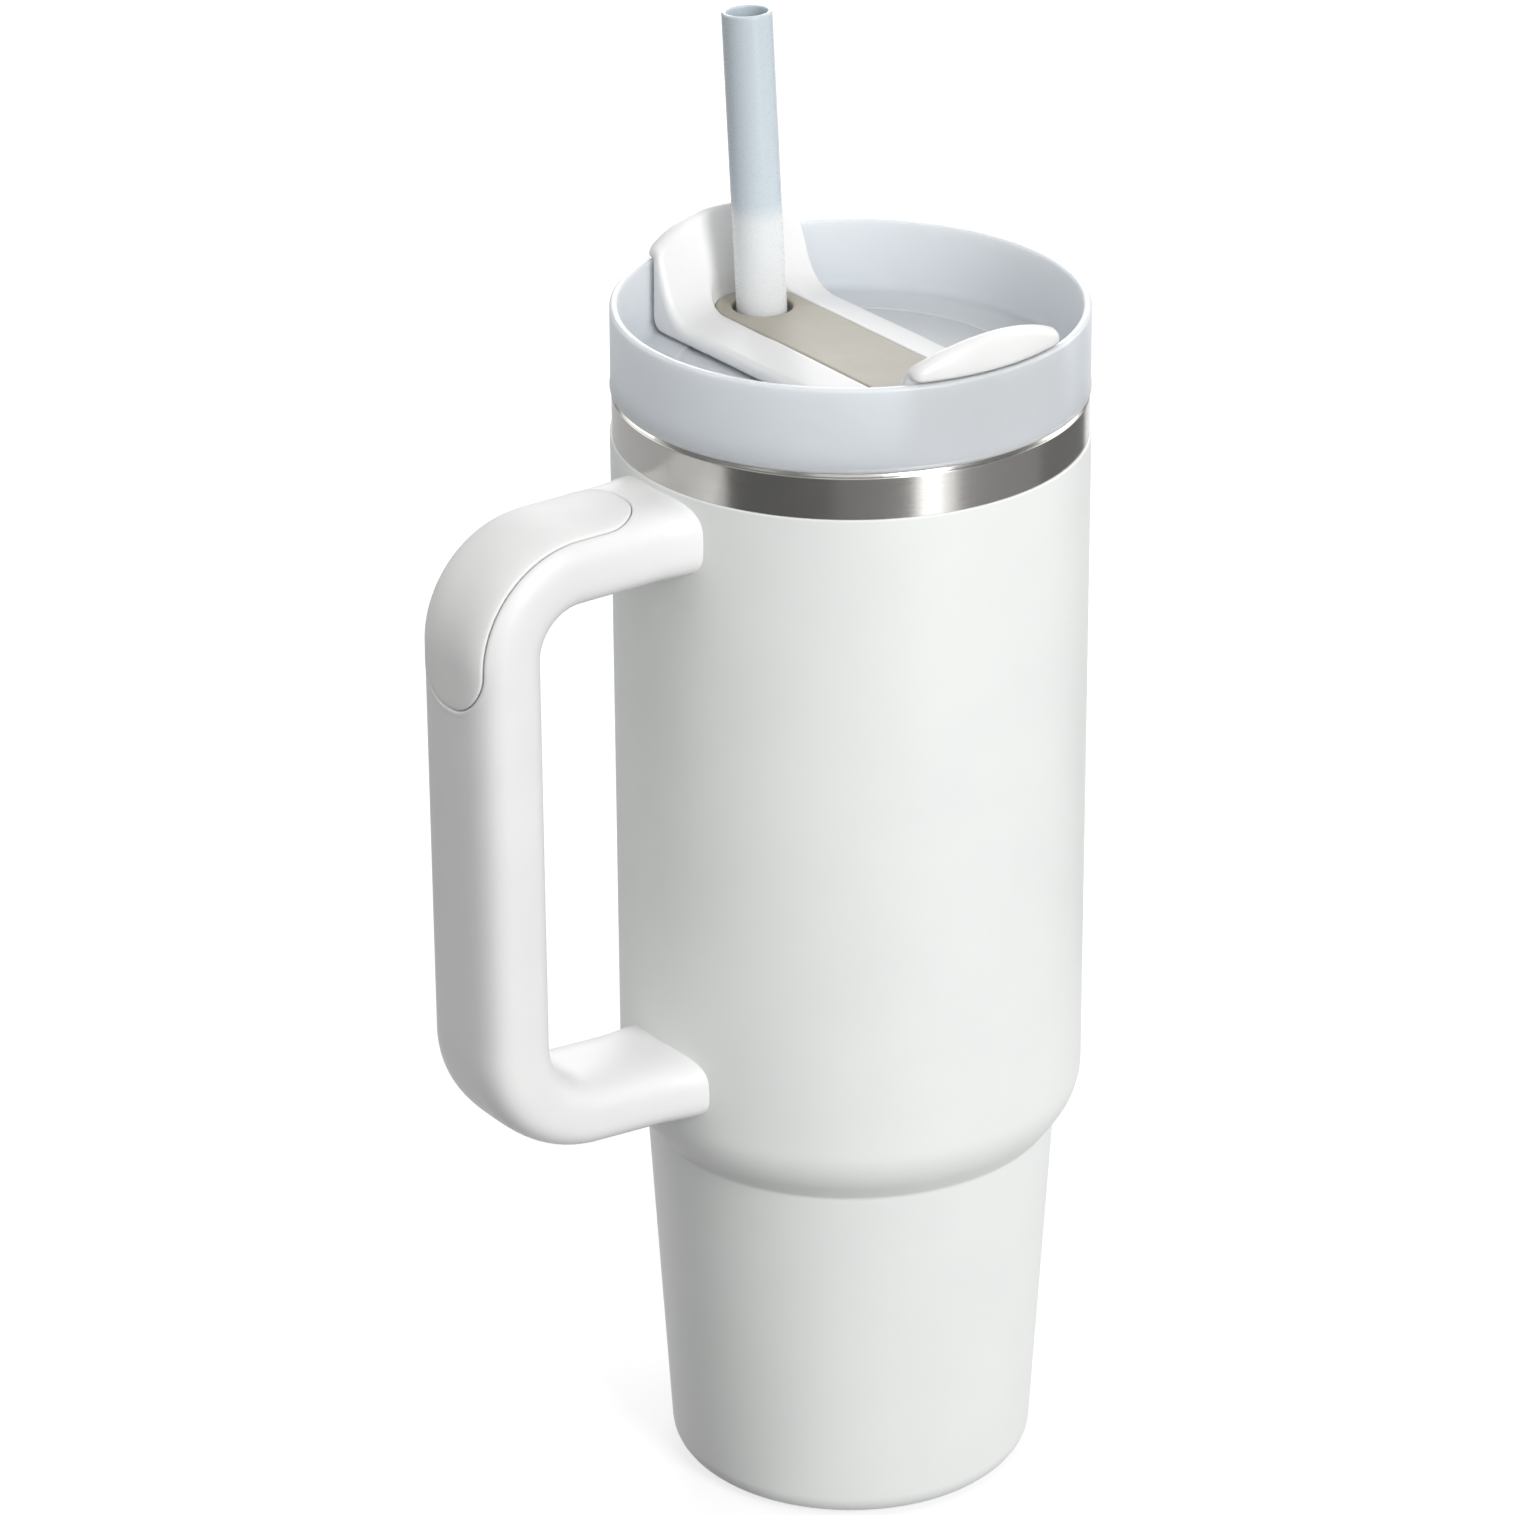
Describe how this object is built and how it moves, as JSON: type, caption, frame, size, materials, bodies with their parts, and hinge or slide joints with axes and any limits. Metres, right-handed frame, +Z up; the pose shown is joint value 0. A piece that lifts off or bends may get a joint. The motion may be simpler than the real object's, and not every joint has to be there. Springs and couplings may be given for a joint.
{
  "type": "insulated tumbler with lid",
  "caption": "Vacuum-insulated steel tumbler with a side handle, a cup-holder base, a screw-on lid with a rotating cover and a leaning drinking straw.",
  "frame": {"origin": "centre of the base, on the surface the tumbler stands on", "axes": "+Z up along the tumbler's axis, +X towards the handle, -Y towards the straw"},
  "size_m": [0.1488, 0.0986, 0.3174],
  "materials": {
    "powder_coat": "fine satin powder coat over steel, bare above the band's edge",
    "liner_steel": "brushed around the axis",
    "base_steel": "satin pressed disc",
    "bracket_steel": "pressed and spot welded",
    "screw_steel": "plain bright steel",
    "port_glass": "fused sealing glass",
    "getter_metal": "sintered pill",
    "handle_plastic": "satin moulded",
    "grip_rubber": "matt soft-touch",
    "lid_plastic": "frosted and translucent",
    "seal_silicone": "matt silicone",
    "cover_plastic": "satin moulded",
    "insert_plastic": "fine matt",
    "straw_plastic": "milky translucent tube"
  },
  "bodies": {
    "vessel": {"outer_shell": "powder_coat", "inner_liner": "liner_steel", "shell_bottom": "liner_steel", "port_seal": "port_glass", "getter": "getter_metal", "getter_clip": "liner_steel", "base_cover": "base_steel", "upper_handle_bracket": "bracket_steel", "lower_handle_bracket": "bracket_steel", "handle_body": "handle_plastic", "handle_grip": "grip_rubber", "upper_handle_screw": "screw_steel", "lower_handle_screw": "screw_steel", "lower_screw_plug": "handle_plastic"},
    "gasket": {"lid_gasket": "seal_silicone"},
    "lid": {"lid_body": "lid_plastic", "pivot_o_ring": "seal_silicone"},
    "cover": {"rotating_cover": "cover_plastic", "cover_insert": "insert_plastic", "cover_seal": "seal_silicone", "pivot_pin": "screw_steel", "pivot_retainer": "screw_steel"},
    "straw": {"straw": "straw_plastic"}
  },
  "joints": [
    {"name": "lid_rise", "type": "slide", "parent": "vessel", "child": "gasket", "axis": [0, 0, 1], "range_m": [0, 0.01]},
    {"name": "lid_turn", "type": "hinge", "parent": "gasket", "child": "lid", "pos_m": [0, 0, 0.247], "axis": [0, 0, 1], "range_deg": [0, 720]},
    {"name": "cover_turn", "type": "hinge", "parent": "lid", "child": "cover", "pos_m": [0, 0, 0.25], "axis": [0, 0, 1], "range_deg": [-20, 20]},
    {"name": "straw_pull", "type": "slide", "parent": "cover", "child": "straw", "axis": [0, -0.0724, 0.9974], "range_m": [0, 0.205]}
  ],
  "couplings": [
    {"joint": "lid_rise", "follows": "lid_turn", "m_per_rad": 0.00079577}
  ]
}
